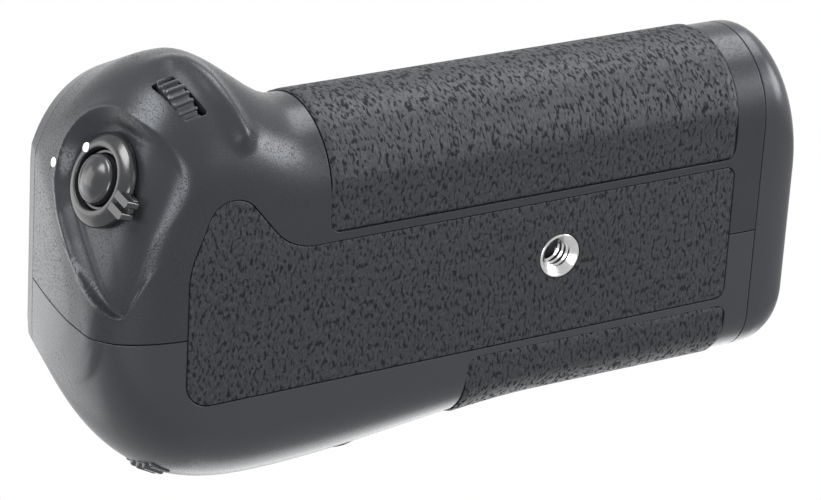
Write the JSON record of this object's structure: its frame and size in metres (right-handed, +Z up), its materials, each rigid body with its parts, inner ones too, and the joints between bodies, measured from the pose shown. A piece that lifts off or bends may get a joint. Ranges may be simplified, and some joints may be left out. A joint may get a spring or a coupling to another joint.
{
  "type": "camera battery grip",
  "caption": "Contoured battery grip that screws under a camera body, with leather-grained pads, a vertical shutter release with lock lever, control dials and a slide-out cell tray.",
  "frame": {"origin": "mouth of the tripod socket, on the bottom face", "axes": "+Z up into the camera, +X towards the battery tray cap, -Y towards the subject"},
  "size_m": [0.1424, 0.0779, 0.0435],
  "materials": {
    "shell": "satin moulded plastic with a fine speckle",
    "grip_pad": "leather-grained rubber",
    "gloss": "polished black plastic",
    "steel": "turned steel",
    "bright": "bright plated",
    "brass": "plain brass",
    "board": "solder-masked laminate",
    "tray": "plain moulded plastic"
  },
  "bodies": {
    "housing": {"front_shell": "shell", "rear_shell": "shell", "top_plate": "shell", "battery_chamber": "tray", "chamber_terminals": "brass", "front_grip_pad": "grip_pad", "bottom_grip_pad": "grip_pad", "rear_grip_pad": "grip_pad", "tripod_bush": "bright", "tripod_plate": "steel", "shutter_seat": "gloss", "shutter_spring": "steel", "shutter_switch": "board", "front_dial_axle": "steel", "front_dial_bracket": "steel", "rear_dial_axle": "steel", "rear_dial_bracket": "steel", "focus_seat": "gloss", "focus_switch": "board", "selector_base": "tray", "control_board": "board", "contact_block": "gloss", "contact_pins": "brass", "locating_pins": "steel", "screw_bush": "brass", "thumbwheel_axle": "steel", "housing_screws": "steel"},
    "shutter": {"shutter_button": "gloss"},
    "lever": {"lock_lever": "gloss"},
    "front_wheel": {"front_dial": "gloss"},
    "rear_wheel": {"rear_dial": "gloss"},
    "focus": {"focus_button": "gloss"},
    "cradle": {"selector_cradle": "tray"},
    "selector": {"selector_pad": "gloss"},
    "tray": {"tray_frame": "tray", "tray_cap": "shell", "tray_contacts": "brass", "tray_springs": "steel", "latch_plate": "steel"},
    "latch": {"latch_key": "gloss", "latch_arm": "steel"},
    "thumb": {"thumbwheel": "gloss"},
    "screw": {"mount_screw": "steel", "screw_gear": "brass"}
  },
  "joints": [
    {"name": "shutter_press", "type": "slide", "parent": "housing", "child": "shutter", "axis": [0.9222, 0.3707, 0.1097], "range_m": [0, 0.0015], "stiffness_N_per_m": 400, "deforming": ["shutter_spring"]},
    {"name": "lock_lever_turn", "type": "hinge", "parent": "housing", "child": "lever", "pos_m": [-0.0833, -0.0226, 0.0146], "axis": [-0.9222, -0.3707, -0.1097], "range_deg": [0, 40]},
    {"name": "front_dial_spin", "type": "hinge", "parent": "housing", "child": "front_wheel", "pos_m": [-0.07195, -0.03121, 0.01328], "axis": [0.9781, -0.2079, 0], "continuous": true},
    {"name": "rear_dial_spin", "type": "hinge", "parent": "housing", "child": "rear_wheel", "pos_m": [-0.07224, 0.02419, 0.013], "axis": [0.8829, 0.4695, 0], "continuous": true},
    {"name": "focus_press", "type": "slide", "parent": "housing", "child": "focus", "axis": [0, -1, 0], "range_m": [0, 0.001], "stiffness_N_per_m": 400},
    {"name": "selector_tilt_side", "type": "hinge", "parent": "housing", "child": "cradle", "pos_m": [-0.038, 0.02735, 0.016], "axis": [0, 0, 1], "range_deg": [-5, 5], "stiffness_Nm_per_rad": 0.05},
    {"name": "selector_tilt_up", "type": "hinge", "parent": "cradle", "child": "selector", "pos_m": [-0.038, 0.02735, 0.016], "axis": [1, 0, 0], "range_deg": [-5, 5], "stiffness_Nm_per_rad": 0.05},
    {"name": "tray_slide", "type": "slide", "parent": "housing", "child": "tray", "axis": [1, 0, 0], "range_m": [0, 0.115]},
    {"name": "latch_turn", "type": "hinge", "parent": "tray", "child": "latch", "pos_m": [0, -0.001, 0.01485], "axis": [1, 0, 0], "range_deg": [0, 90]},
    {"name": "thumbwheel_spin", "type": "hinge", "parent": "housing", "child": "thumb", "pos_m": [0.00427, 0.01872, 0.0307], "axis": [0, 0, 1], "continuous": true},
    {"name": "mount_screw_spin", "type": "hinge", "parent": "housing", "child": "screw", "pos_m": [0, 0, 0.0307], "axis": [0, 0, 1], "continuous": true}
  ],
  "couplings": [
    {"joint": "mount_screw_spin", "follows": "thumbwheel_spin", "ratio": -1.4}
  ]
}
